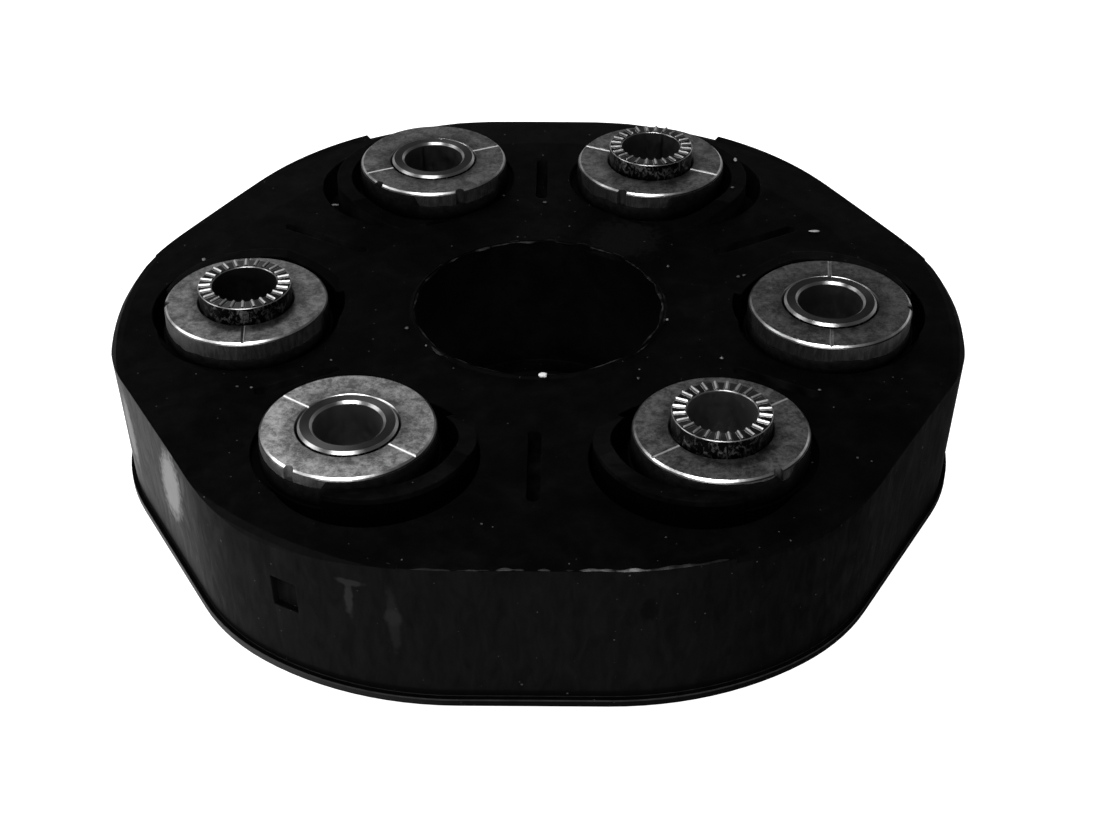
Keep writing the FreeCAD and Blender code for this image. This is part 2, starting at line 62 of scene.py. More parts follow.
def makeCamera():
    data = bpy.data.cameras.new("shaftJointCamera")
    data.sensor_fit = "HORIZONTAL"
    data.sensor_width = camera["sensor"]
    data.lens = camera["lens"]
    data.clip_start, data.clip_end = camera["clip"]
    holder = bpy.data.objects.new("shaftJointCamera", data)
    bpy.context.scene.collection.objects.link(holder)
    rows = zip(camera["right"], camera["up"], camera["back"], camera["eye"])
    holder.matrix_world = Matrix([tuple(row) for row in rows] + [(0, 0, 0, 1)])
    bpy.context.scene.camera = holder


makeCamera()
print("camera placed")


# Small helpers for shader trees. Every tree works in millimetres of the part's own frame.
def startMaterial(name):
    material = bpy.data.materials.new(name)
    material.use_nodes = True
    tree = material.node_tree
    tree.nodes.clear()
    output = tree.nodes.new("ShaderNodeOutputMaterial")
    shader = tree.nodes.new("ShaderNodeBsdfPrincipled")
    tree.links.new(shader.outputs["BSDF"], output.inputs["Surface"])
    return material, tree, shader


def millimetres(tree, stretch=(1.0, 1.0, 1.0)):
    place = tree.nodes.new("ShaderNodeTexCoord")
    mapping = tree.nodes.new("ShaderNodeMapping")
    mapping.inputs["Scale"].default_value = [1000.0 * part for part in stretch]
    tree.links.new(place.outputs["Object"], mapping.inputs["Vector"])
    return mapping.outputs["Vector"]


def noise(tree, vector, scale, detail=4.0, roughness=0.55, distortion=0.0):
    texture = tree.nodes.new("ShaderNodeTexNoise")
    texture.inputs["Scale"].default_value = scale
    texture.inputs["Detail"].default_value = detail
    texture.inputs["Roughness"].default_value = roughness
    texture.inputs["Distortion"].default_value = distortion
    tree.links.new(vector, texture.inputs["Vector"])
    return texture.outputs["Fac"]


def ramp(tree, factor, stops, smooth=False):
    curve = tree.nodes.new("ShaderNodeValToRGB")
    curve.color_ramp.interpolation = "EASE" if smooth else "LINEAR"
    elements = curve.color_ramp.elements
    while len(elements) < len(stops):
        elements.new(0.5)
    for element, (position, value) in zip(elements, stops):
        element.position = position
        element.color = (value, value, value, 1.0)
    tree.links.new(factor, curve.inputs["Fac"])
    return curve.outputs["Color"]


def feed(tree, socket, value):
    # a socket takes a number, a colour or another node's result
    if isinstance(value, tuple):
        socket.default_value = (*value, 1.0)
    elif isinstance(value, (int, float)):
        socket.default_value = value
    else:
        tree.links.new(value, socket)


def sums(tree, operation, first, second=None, clamp=False):
    node = tree.nodes.new("ShaderNodeMath")
    node.operation = operation
    node.use_clamp = clamp
    for socket, value in zip(node.inputs, (first, second)):
        if value is not None:
            feed(tree, socket, value)
    return node.outputs["Value"]


def times(tree, first, second):
    return sums(tree, "MULTIPLY", first, second)


def blendColours(tree, factor, first, second, kind="MIX"):
    mix = tree.nodes.new("ShaderNodeMix")
    mix.data_type = "RGBA"
    mix.blend_type = kind
    for name, value in (("Factor", factor), ("A", first), ("B", second)):
        feed(tree, [s for s in mix.inputs if s.name == name and s.enabled][0], value)
    return [s for s in mix.outputs if s.name == "Result" and s.enabled][0]


def multiplied(tree, first, second):
    return blendColours(tree, 1.0, first, second, "MULTIPLY")


def grey(tone):
    return (tone, tone, tone)


def component(tree, vector, axis):
    split = tree.nodes.new("ShaderNodeSeparateXYZ")
    tree.links.new(vector, split.inputs["Vector"])
    return split.outputs[axis]


def combined(tree, across, along):
    joined = tree.nodes.new("ShaderNodeCombineXYZ")
    tree.links.new(across, joined.inputs["X"])
    tree.links.new(along, joined.inputs["Y"])
    return joined.outputs["Vector"]


def bump(tree, height, distance, strength, normal=None):
    surface = tree.nodes.new("ShaderNodeBump")
    surface.inputs["Strength"].default_value = strength
    surface.inputs["Distance"].default_value = distance / 1000.0
    tree.links.new(height, surface.inputs["Height"])
    if normal is not None:
        tree.links.new(normal, surface.inputs["Normal"])
    return surface.outputs["Normal"]


def softEdges(tree, radius):
    bevel = tree.nodes.new("ShaderNodeBevel")
    bevel.samples = 4
    bevel.inputs["Radius"].default_value = radius / 1000.0
    return bevel.outputs["Normal"]


def facing(tree, axis):
    # one component of the true surface direction
    return component(tree, tree.nodes.new("ShaderNodeNewGeometry").outputs["True Normal"], axis)


def lengthOf(tree, across, along):
    return sums(tree, "SQRT", sums(tree, "ADD", times(tree, across, across), times(tree, along, along)))


def polarPlace(tree):
    # angle in degrees (0 to 360) about the disc's axis, distance from the axis, height; in millimetres
    place = millimetres(tree)
    across, along, height = (component(tree, place, axis) for axis in "XYZ")
    turned = sums(tree, "ARCTAN2", times(tree, along, -1.0), times(tree, across, -1.0))
    angle = sums(tree, "ADD", times(tree, turned, 180.0 / math.pi), 180.0)
    return angle, lengthOf(tree, across, along), height


def byAngle(tree, turn, stops):
    return ramp(tree, turn, [(degrees / 360.0, level) for degrees, level in stops])


def mapped(tree, value, low, high):
    stretch = tree.nodes.new("ShaderNodeMapRange")
    stretch.inputs["From Min"].default_value = low
    stretch.inputs["From Max"].default_value = high
    tree.links.new(value, stretch.inputs["Value"])
    return stretch.outputs["Result"]


def between(tree, value, low, high, soft):
    # 1 inside the band, 0 outside it, with soft flanks
    rise = ramp(tree, mapped(tree, value, low - soft, low + soft), [(0.0, 0.0), (1.0, 1.0)])
    fall = ramp(tree, mapped(tree, value, high - soft, high + soft), [(0.0, 1.0), (1.0, 0.0)])
    return times(tree, rise, fall)


def specks(tree, vector, pitch, size, share):
    # a share of the cells of a loose lattice each hold one small dot
    cells = tree.nodes.new("ShaderNodeTexVoronoi")
    cells.voronoi_dimensions = "2D"
    cells.inputs["Scale"].default_value = 1.0 / pitch
    tree.links.new(vector, cells.inputs["Vector"])
    split = tree.nodes.new("ShaderNodeSeparateColor")
    tree.links.new(cells.outputs["Color"], split.inputs["Color"])
    chosen = sums(tree, "LESS_THAN", split.outputs["Red"], share)
    reach = times(tree, split.outputs["Green"], size / pitch)
    dot = sums(tree, "LESS_THAN", cells.outputs["Distance"], reach)
    return times(tree, chosen, dot)


def mottledFinish(name, look):
    # a plain finish whose tone changes in patches
    material, tree, shader = startMaterial(name)
    patches = noise(tree, millimetres(tree), *look["patches"])
    tree.links.new(ramp(tree, patches, look["tones"]), shader.inputs["Base Color"])
    shader.inputs["Roughness"].default_value = look["roughness"]
    if "specular" in look:
        shader.inputs["Specular IOR Level"].default_value = look["specular"]
    fine = noise(tree, millimetres(tree), *look["fine"]) if "fine" in look else patches
    tree.links.new(bump(tree, fine, *look["bump"]), shader.inputs["Normal"])
    return material


# In every finish a noise is its scale, detail, roughness and distortion, a list of pairs is a ramp's stops,
# a band is its two ends and the softness of its flanks, and a bump is its depth and strength.
# Round the disc the stops go by the angle about its axis, in degrees.
blackRubber = {
    "mottle": (0.35, 6.0, 0.62, 0.4),
    "grain": (2.6, 3.0, 0.6),
    "smear": (0.5, 5.0, 0.6, 0.8),
    "smearStretch": (1.0, 1.0, 0.3),
    "smudge": (0.11, 4.0, 0.6, 0.5),
    "rag": (0.9, 5.0, 0.65),
    "topTones": [(0.3, 0.0003), (0.72, 0.0011)],
    "smudgeShade": [(0.36, 0.3), (0.64, 1.7)],
    "wallStart": 75.2,
    "wallSlope": [(0.45, 1.0), (0.85, 0.0)],
    "uprightSlope": [(0.25, 1.0), (0.6, 0.0)],
    "wallToneAndSheen": [
        (0, 0.0009), (20, 0.0014), (50, 0.0050), (90, 0.0060), (150, 0.0060), (200, 0.0052), (212, 0.0054),
        (222, 0.0043), (232, 0.0033), (262, 0.0028), (285, 0.0025), (298, 0.0010), (320, 0.0007),
        (345, 0.0009), (360, 0.0009),
    ],
    "smearShade": [(0.25, 0.55), (0.75, 1.5)],
    "tornEdge": [(0.45, 1.0), (1.0, 0.0)],
    "lipToneAndReflection": [
        (180, 0.02), (200, 0.05), (228, 0.05), (245, 0.014), (262, 0.0014), (300, 0.0010), (340, 0.0006),
    ],
    "lipBand": (-30.0, -13.65, 0.12),
    "lipHighlightBand": (-13.85, -13.4, 0.08),
    "lipHighlightTone": 0.04,
    "shadowBand": (-13.35, -12.0, 0.3),
    "shadowStrength": 0.8,
    "shadowTone": 0.0006,
    "frontToRear": (10.0, 50.0),
    "cavityTop": 13.6,
    "cavityShade": (0.12, 3.0),
    "slotPitch": 60.0,
    "slotHalfAngle": 4.5,
    "slotInner": 32.0,
    "slotShade": 4.5,
    "recessBand": (13.8, 14.75, 0.08),
    "recessEnd": 72.3,
    "recessFacing": 0.9,
    "recessShade": 0.25,
    "ringTop": 17.4,
    "ringShade": (2.1, 0.9),
    "slopeBand": (0.93, 0.985, 0.005),
    "slopeShade": 0.5,
    "dust": [(9.0, 0.28, 0.18), (5.2, 0.19, 0.17), (3.3, 0.13, 0.17)],
    "dustTones": [(0.35, 0.006), (0.65, 0.07)],
    "unrolledRadius": 79.0,
    "roughness": [(0.3, 0.66), (0.7, 0.56)],
    "wallRoughness": [
        (0, 0.92), (60, 0.75), (150, 0.6), (190, 0.34), (214, 0.40), (226, 0.52), (245, 0.58), (280, 0.62),
        (300, 0.80), (320, 0.95), (360, 0.92),
    ],
    "smearRoughness": [(0.3, 1.15), (0.7, 0.85)],
    "specular": 0.018,
    "edgeRadius": 0.35,
    "mottleBump": (0.05, 0.6),
    "grainBump": (0.03, 0.5),
}

# Paler or darker marks on the wall: angle and height of the middle, half sizes, slant, tone, raggedness.
rubberMarks = {
    # leftStreak is a painted reflection and leftRim a painted highlight, both on the left wall
    "leftStreak": {"at": (213.6, 5.2), "half": (4.6, 11.0), "slant": 0.22, "tone": 0.22, "ragged": 0.45},
    "leftStreakFaint": {"at": (219.2, 10.2), "half": (1.0, 3.6), "slant": 0.20, "tone": 0.035, "ragged": 0.7},
    "leftRim": {"at": (197.0, 3.0), "half": (2.4, 10.0), "slant": 0.0, "tone": 0.16, "ragged": 0.5},
    "teeBar": {"at": (248.3, 10.3), "half": (2.2, 0.9), "slant": 0.0, "tone": 0.014, "ragged": 0.6},
    "teeStem": {"at": (248.0, 6.4), "half": (0.7, 4.4), "slant": 0.02, "tone": 0.016, "ragged": 0.6},
    "slimStreak": {"at": (253.3, 3.4), "half": (0.9, 9.5), "slant": -0.02, "tone": 0.008, "ragged": 0.45},
    "slimBlob": {"at": (253.3, 3.9), "half": (1.4, 2.4), "slant": 0.0, "tone": 0.012, "ragged": 0.3},
    "darkPatch": {"at": (284.0, 6.4), "half": (1.3, 3.3), "slant": 0.05, "tone": 0.0007, "ragged": 0.5},
    "darkBand": {"at": (300.4, -1.0), "half": (1.6, 8.5), "slant": -0.10, "tone": 0.0006, "ragged": 0.4},
}

# A paler flap of skin behind the hole: angle and distance from the axis, the same way, on the top only.
flapMark = {
    "at": (56.0, 30.0), "half": (16.0, 9.5), "slant": 0.0, "tone": 0.0026, "ragged": 0.9, "above": 14.5,
}


def markMask(tree, place, mark, rag):
    angle, height = place
    middle, level = mark["at"]
    wide, tall = mark["half"]
    rise = sums(tree, "SUBTRACT", height, level)
    offset = sums(tree, "SUBTRACT", sums(tree, "SUBTRACT", angle, middle), times(tree, rise, mark["slant"]))
    reach = lengthOf(tree, sums(tree, "DIVIDE", offset, wide), sums(tree, "DIVIDE", rise, tall))
    torn = sums(tree, "ADD", reach, times(tree, sums(tree, "SUBTRACT", rag, 0.5), 2.0 * mark["ragged"]))
    return ramp(tree, torn, blackRubber["tornEdge"], True)


def frontToRear(tree, vector, shades):
    # a tone that changes from the disc's front to its rear
    along = mapped(tree, component(tree, vector, "Y"), *blackRubber["frontToRear"])
    return ramp(tree, along, list(enumerate(shades)))


def rubberShade(tree, vector, place, inside, upright):
    # painted shade and light: how much darker or paler the hollows, slots, recesses, rings and slopes are
    # painted
    angle, distance, height = place
    deep = sums(tree, "LESS_THAN", height, blackRubber["cavityTop"])
    sunk = times(tree, inside, sums(tree, "MAXIMUM", deep, upright))
    hollowShade = frontToRear(tree, vector, blackRubber["cavityShade"])
    pitch = blackRubber["slotPitch"]
    fromSlot = sums(tree, "ABSOLUTE", sums(tree, "SUBTRACT", sums(tree, "MODULO", angle, pitch), pitch / 2))
    inSlot = sums(tree, "LESS_THAN", fromSlot, blackRubber["slotHalfAngle"])
    inSlot = times(tree, inSlot, sums(tree, "GREATER_THAN", distance, blackRubber["slotInner"]))
    hollowShade = blendColours(tree, inSlot, hollowShade, grey(blackRubber["slotShade"]))
    shade = blendColours(tree, sunk, grey(1.0), hollowShade)
    recess = sums(tree, "LESS_THAN", distance, blackRubber["recessEnd"])
    recess = times(tree, recess, sums(tree, "GREATER_THAN", facing(tree, "Z"), blackRubber["recessFacing"]))
    recess = times(tree, recess, between(tree, height, *blackRubber["recessBand"]))
    shade = blendColours(tree, recess, shade, grey(blackRubber["recessShade"]))
    raised = times(tree, inside, sums(tree, "GREATER_THAN", height, blackRubber["ringTop"]))
    shade = blendColours(tree, raised, shade, frontToRear(tree, vector, blackRubber["ringShade"]))
    sloping = times(tree, inside, between(tree, facing(tree, "Z"), *blackRubber["slopeBand"]))
    return blendColours(tree, sloping, shade, grey(blackRubber["slopeShade"]))


def makeRubberMaterial():
    material, tree, shader = startMaterial("blackRubber")
    vector = millimetres(tree)
    angle, distance, height = polarPlace(tree)
    turn = sums(tree, "DIVIDE", angle, 360.0)
    mottle = noise(tree, vector, *blackRubber["mottle"])
    grain = noise(tree, vector, *blackRubber["grain"])
    smear = noise(tree, millimetres(tree, blackRubber["smearStretch"]), *blackRubber["smear"])
    smudge = noise(tree, vector, *blackRubber["smudge"])
    rag = noise(tree, vector, *blackRubber["rag"])
    onWall = sums(tree, "GREATER_THAN", distance, blackRubber["wallStart"])
    inside = sums(tree, "SUBTRACT", 1.0, onWall)
    slope = sums(tree, "ABSOLUTE", facing(tree, "Z"))
    upright = ramp(tree, slope, blackRubber["uprightSlope"])
    # the rounded edge belongs to the wall for its lower part
    wallMask = times(tree, onWall, ramp(tree, slope, blackRubber["wallSlope"]))
    tone = ramp(tree, mottle, blackRubber["topTones"])
    tone = multiplied(tree, tone, ramp(tree, smudge, blackRubber["smudgeShade"]))
    # the wall's tone by angle is partly painted reflection, palest round the left and darkest on the right
    wall = byAngle(tree, turn, blackRubber["wallToneAndSheen"])
    wall = multiplied(tree, wall, ramp(tree, smear, blackRubber["smearShade"]))
    tone = blendColours(tree, wallMask, tone, wall)
    for mark in rubberMarks.values():
        mask = times(tree, markMask(tree, (angle, height), mark, rag), wallMask)
        tone = blendColours(tree, mask, tone, grey(mark["tone"]))
    flap = markMask(tree, (angle, distance), flapMark, rag)
    flap = times(tree, flap, sums(tree, "GREATER_THAN", height, flapMark["above"]))
    tone = blendColours(tree, flap, tone, grey(flapMark["tone"]))
    # the lip at the foot, with a painted reflection paler on the left, the painted highlight along its top and
    # the painted shadow above it
    lipMask = times(tree, onWall, between(tree, height, *blackRubber["lipBand"]))
    tone = blendColours(tree, lipMask, tone, byAngle(tree, turn, blackRubber["lipToneAndReflection"]))
    lipHighlightMask = times(tree, wallMask, between(tree, height, *blackRubber["lipHighlightBand"]))
    tone = blendColours(tree, times(tree, lipHighlightMask, smear), tone, grey(blackRubber["lipHighlightTone"]))
    shadowMask = times(tree, onWall, between(tree, height, *blackRubber["shadowBand"]))
    shadowMask = times(tree, shadowMask, blackRubber["shadowStrength"])
    tone = blendColours(tree, shadowMask, tone, grey(blackRubber["shadowTone"]))
    tone = multiplied(tree, tone, rubberShade(tree, vector, (angle, distance, height), inside, upright))
    # dust lies on the top and clings to the wall, which is unrolled so that its dots stay round
    around = times(tree, angle, math.pi / 180.0 * blackRubber["unrolledRadius"])
    spread = blendColours(tree, wallMask, vector, combined(tree, around, height))
    exposed = sums(tree, "SUBTRACT", 1.0, times(tree, inside, upright))
    for pitch, size, share in blackRubber["dust"]:
        dots = times(tree, specks(tree, spread, pitch, size, share), exposed)
        tone = blendColours(tree, dots, tone, ramp(tree, mottle, blackRubber["dustTones"]))
    tree.links.new(tone, shader.inputs["Base Color"])
    roughness = ramp(tree, mottle, blackRubber["roughness"])
    worn = byAngle(tree, turn, blackRubber["wallRoughness"])
    worn = multiplied(tree, worn, ramp(tree, smear, blackRubber["smearRoughness"]))
    tree.links.new(blendColours(tree, wallMask, roughness, worn), shader.inputs["Roughness"])
    shader.inputs["Specular IOR Level"].default_value = blackRubber["specular"]
    normal = softEdges(tree, blackRubber["edgeRadius"])
    normal = bump(tree, mottle, *blackRubber["mottleBump"], normal)
    normal = bump(tree, grain, *blackRubber["grainBump"], normal)
    tree.links.new(normal, shader.inputs["Normal"])
    return material


# The six bushes, counterclockwise: direction of the middle, and the painted light and shade on each: how bright
# the collar's face and the bore are painted, the painted light on the collar's left side and the painted
# highlight on the mark across its face.
bushes = {
    1: {"angle": 65.4, "face": 0.82, "bore": 0.45, "paintedLeftLight": 0.05, "mark": 0.8},
    2: {"angle": 114.6, "face": 0.66, "bore": 0.45, "paintedLeftLight": 0.10, "mark": 0.7},
    3: {"angle": 185.4, "face": 0.67, "bore": 0.20, "paintedLeftLight": 0.45, "mark": 0.42},
    4: {"angle": 234.6, "face": 1.17, "bore": 0.90, "paintedLeftLight": 0.60, "mark": 1.0},
    5: {"angle": 305.4, "face": 0.76, "bore": 0.90, "paintedLeftLight": 0.05, "mark": 0.5},
    6: {"angle": 354.6, "face": 0.63, "bore": 0.50, "paintedLeftLight": 0.05, "mark": 0.45},
}
boltCircle = 55.0


def bushMiddle(number):
    turned = math.radians(bushes[number]["angle"])
    return Vector((boltCircle * math.cos(turned), boltCircle * math.sin(turned), 0.0))


def aboutBush(tree, number):
    # place measured from the bush's own axis: across, along, distance
    shift = tree.nodes.new("ShaderNodeVectorMath")
    shift.operation = "SUBTRACT"
    tree.links.new(millimetres(tree), shift.inputs[0])
    shift.inputs[1].default_value = bushMiddle(number)
    across, along = (component(tree, shift.outputs["Vector"], axis) for axis in "XY")
    return across, along, lengthOf(tree, across, along)


collarSteel = {
    "patches": (0.35, 5.0, 0.6, 0.6),
    "fine": (1.5, 5.0, 0.75),
    "etchShares": (0.45, 0.55),
    "face": [(0.42, 0.13), (0.60, 0.43)],
    "pits": (2.6, 0.5, 0.16),
    "pitStrength": 0.5,
    "pitTone": 0.052,
    "besideSleeve": (9.0, 12.6),
    "nearSleeveWander": 1.5,
    "nearSleeveDarkening": [(0.25, 0.45), (1.0, 1.0)],
    "streaks": (1.1, 5.0, 0.7, 0.6),
    "streakStretch": (1.0, 1.0, 0.25),
    "side": [(0.4, 0.09), (0.62, 0.19)],
    "sideSlope": [(0.1, 1.0), (0.4, 0.0)],
    "paintedLeftLightRamp": [(0.25, 0.0), (0.75, 1.0)],
    "chamfer": [(0.35, 0.341), (0.65, 0.62)],
    "chamferBand": (0.68, 0.74, 0.02),
    "chamferLevels": (19.8, 20.3),
    "chamferShade": [(0.32, 0.10), (0.46, 1.0)],
    "forwardFacing": (-0.7, 0.0),
    "forwardShade": [(0.45, 1.0), (0.95, 0.25)],
    "chamferRoughness": 0.30,
    "mark": 0.75,
    "markBand": (0.798, 0.898, 0.02),
    "markTop": 20.2,
    "markRoughness": 0.75,
    "roughness": [(0.3, 0.34), (0.7, 0.46)],
    "bump": (0.04, 0.5),
}


def makeCollarMaterial(number):
    material, tree, shader = startMaterial("etchedCollarSteel%d" % number)
    bush = bushes[number]
    vector = millimetres(tree)
    level = component(tree, vector, "Z")
    patches = noise(tree, vector, *collarSteel["patches"])
    fine = noise(tree, vector, *collarSteel["fine"])
    slope = sums(tree, "ABSOLUTE", facing(tree, "Z"))
    across, _, distance = aboutBush(tree, number)
    # the etched face, with pits, and darker beside the sleeve
    coarseShare, fineShare = collarSteel["etchShares"]
    etched = sums(tree, "ADD", times(tree, patches, coarseShare), times(tree, fine, fineShare))
    # the face's tone is scaled per bush as painted light
    face = ramp(tree, etched, [(stop, tone * bush["face"]) for stop, tone in collarSteel["face"]])
    pits = times(tree, specks(tree, vector, *collarSteel["pits"]), collarSteel["pitStrength"])
    face = blendColours(tree, pits, face, grey(collarSteel["pitTone"] * bush["face"]))
    nearSleeve = sums(tree, "ADD", distance, times(tree, patches, collarSteel["nearSleeveWander"]))
    nearSleeve = mapped(tree, nearSleeve, *collarSteel["besideSleeve"])
    face = multiplied(tree, face, ramp(tree, nearSleeve, collarSteel["nearSleeveDarkening"]))
    # the streaky side, with painted light towards the left; the distance is kept off zero
    streaks = noise(tree, millimetres(tree, collarSteel["streakStretch"]), *collarSteel["streaks"])
    side = ramp(tree, streaks, collarSteel["side"])
    leftness = sums(tree, "DIVIDE", times(tree, across, -1.0), sums(tree, "MAXIMUM", distance, 0.1))
    paintedLeftLight = times(tree, ramp(tree, leftness, collarSteel["paintedLeftLightRamp"], True), patches)
    side = blendColours(tree, paintedLeftLight, side, grey(bush["paintedLeftLight"]))
    tone = blendColours(tree, ramp(tree, slope, collarSteel["sideSlope"]), face, side)
    # the chamfer gets a painted highlight along its upper edge, most of all in front
    chamferMask = between(tree, slope, *collarSteel["chamferBand"])
    chamferHighlight = ramp(tree, patches, collarSteel["chamfer"])
    edge = mapped(tree, level, *collarSteel["chamferLevels"])
    chamferHighlight = multiplied(tree, chamferHighlight, ramp(tree, edge, collarSteel["chamferShade"]))
    forward = mapped(tree, facing(tree, "Y"), *collarSteel["forwardFacing"])
    chamferHighlight = multiplied(tree, chamferHighlight, ramp(tree, forward, collarSteel["forwardShade"]))
    tone = blendColours(tree, chamferMask, tone, chamferHighlight)
    # a painted highlight on the engraved line's flank that faces the front
    flank = sums(tree, "LESS_THAN", facing(tree, "Y"), 0.0)
    flank = times(tree, flank, sums(tree, "LESS_THAN", level, collarSteel["markTop"]))
    markHighlight = times(tree, between(tree, slope, *collarSteel["markBand"]), flank)
    markHighlight = times(tree, markHighlight, bush["mark"])
    tone = blendColours(tree, markHighlight, tone, grey(collarSteel["mark"]))
    tree.links.new(tone, shader.inputs["Base Color"])
    shader.inputs["Metallic"].default_value = 1.0
    roughness = ramp(tree, fine, collarSteel["roughness"])
    roughness = blendColours(tree, chamferMask, roughness, grey(collarSteel["chamferRoughness"]))
    roughness = blendColours(tree, markHighlight, roughness, grey(collarSteel["markRoughness"]))
    tree.links.new(roughness, shader.inputs["Roughness"])
    tree.links.new(bump(tree, fine, *collarSteel["bump"]), shader.inputs["Normal"])
    return material


sleeveSteel = {
    "patches": (0.8, 5.0, 0.6, 0.4),
    "fine": (4.0, 3.0, 0.6),
    "blotches": (0.9, 4.0, 0.7, 1.0),
    "blotchStretch": (1.0, 1.0, 0.6),
    "face": 0.06,
    "betweenTeeth": 0.04,
    "edge": 0.30,
    "flatSlope": [(0.93, 0.0), (0.98, 1.0)],
    "toothStart": 23.63,
    "toothSpan": (23.77, 23.94),
    "tooth": [(0.0, 0.04), (1.0, 0.42)],
    "toothRounding": 0.22,
    "side": [(0.5, 0.003), (0.66, 0.14)],
    "uprightSlope": [(0.1, 1.0), (0.4, 0.0)],
    "bore": 0.22,
    "boreEnd": 7.4,
    "roughness": [(0.3, 0.42), (0.7, 0.30)],
    "anisotropy": 0.75,
    "bump": (0.02, 0.5),
}


def makeSleeveMaterial(number):
    material, tree, shader = startMaterial("turnedSleeveSteel%d" % number)
    toothed = number % 2 == 1  # on the side that shows
    vector = millimetres(tree)
    across, along, distance = aboutBush(tree, number)
    patches = noise(tree, vector, *sleeveSteel["patches"])
    slope = sums(tree, "ABSOLUTE", facing(tree, "Z"))
    face = grey(sleeveSteel["betweenTeeth"] if toothed else sleeveSteel["face"])
    tone = blendColours(tree, ramp(tree, slope, sleeveSteel["flatSlope"]), grey(sleeveSteel["edge"]), face)
    if toothed:
        # the teeth get a painted highlight along their crests only
        level = component(tree, vector, "Z")
        teeth = sums(tree, "GREATER_THAN", level, sleeveSteel["toothStart"])
        crestHighlight = mapped(tree, level, *sleeveSteel["toothSpan"])
        tone = blendColours(tree, teeth, tone, ramp(tree, crestHighlight, sleeveSteel["tooth"]))
    blotches = noise(tree, millimetres(tree, sleeveSteel["blotchStretch"]), *sleeveSteel["blotches"])
    outside = sums(tree, "GREATER_THAN", distance, sleeveSteel["boreEnd"])
    # the bore is painted darker or paler per bush, as painted shade
    bore = grey(sleeveSteel["bore"] * bushes[number]["bore"])
    side = blendColours(tree, outside, bore, ramp(tree, blotches, sleeveSteel["side"]))
    tone = blendColours(tree, ramp(tree, slope, sleeveSteel["uprightSlope"]), tone, side)
    tree.links.new(tone, shader.inputs["Base Color"])
    shader.inputs["Metallic"].default_value = 1.0
    tree.links.new(ramp(tree, patches, sleeveSteel["roughness"]), shader.inputs["Roughness"])
    # the lathe's fine rings run round the bush's axis
    tree.links.new(combined(tree, across, along), shader.inputs["Tangent"])
    shader.inputs["Anisotropic"].default_value = sleeveSteel["anisotropy"]
    shader.inputs["Anisotropic Rotation"].default_value = 0.0
    fine = noise(tree, vector, *sleeveSteel["fine"])
    rounded = softEdges(tree, sleeveSteel["toothRounding"]) if toothed else None
    tree.links.new(bump(tree, fine, *sleeveSteel["bump"], rounded), shader.inputs["Normal"])
    return material


cordFibre = {
    "patches": (1.6, 3.0, 0.7, 1.2),
    "tones": [(0.3, 0.03), (0.7, 0.09)],
    "roughness": 0.8,
    "bump": (0.1, 0.6),
}


def dress():
    rubber, cord = makeRubberMaterial(), mottledFinish("dippedCord", cordFibre)
    makers = {"collar": makeCollarMaterial, "sleeve": makeSleeveMaterial}
    steel = {(kind, number): make(number) for kind, make in makers.items() for number in bushes}
    for name, piece in nodes.items():
        kind = name.split("_")[0]
        finish = {"rubber": rubber, "cord": cord}.get(kind) or steel[kind, int(name.split("_")[-1])]
        piece.data.materials.clear()
        piece.data.materials.append(finish)


dress()
print("finishes laid on")


# Flash of the mould, skins and crumbs of rubber sit on the disc, where rays that start well clear of it land.
rayStart = {"outside": 0.2, "above": 0.1}


def direction(turned):
    return Vector((math.cos(turned), math.sin(turned), 0.0))


def surfaceFinder():
    disc = nodes["rubber_body"].data
    corners = [vertex.co.copy() for vertex in disc.vertices]
    tree = BVHTree.FromPolygons(corners, [face.vertices[:] for face in disc.polygons])

    def fromOutside(outward, level):
        return tree.ray_cast(Vector((0.0, 0.0, level)) + outward * rayStart["outside"], -outward)[0]

    def fromAbove(x, y):
        return tree.ray_cast(Vector((x, y, rayStart["above"])), Vector((0.0, 0.0, -1.0)))[0]

    return fromOutside, fromAbove


fromOutside, fromAbove = surfaceFinder()


def raggedAlong(seed, x, scale):
    return noiseTools.noise(Vector((x * scale, seed * 3.7, 0.5)))


def raggedRound(outward, scale, seed):
    return noiseTools.noise(outward * scale + Vector((0.0, 0.0, seed)))


def finishedMesh(grid, name):
    mesh = bpy.data.meshes.new(name)
    grid.to_mesh(mesh)
    grid.free()
    return mesh


def addPiece(name, mesh, material):
    piece = bpy.data.objects.new(name, mesh)
    bpy.context.scene.collection.objects.link(piece)
    mesh.materials.append(material)
    for face in mesh.polygons:
        face.use_smooth = True
    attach(piece, "root")


def beadMesh(name, spine, sides=8):
    # a closed ragged bead along a line of (place, outward direction, half width, half height)
    grid = bmesh.new()
    upward = Vector((0.0, 0.0, 1.0))
    rings = []
    for place, outward, wide, tall in spine:
        ring = []
        for step in range(sides):
            turned = 2.0 * math.pi * step / sides
            offset = outward * wide * math.cos(turned)
            ring.append(grid.verts.new(place + offset + upward * tall * math.sin(turned)))
        rings.append(ring)
    for first, second in zip(rings, rings[1:]):
        for step in range(sides):
            following = (step + 1) % sides
            grid.faces.new((first[step], first[following], second[following], second[step]))
    grid.faces.new(list(reversed(rings[0])))
    grid.faces.new(rings[-1])
    bmesh.ops.recalc_face_normals(grid, faces=grid.faces)
    return finishedMesh(grid, name)


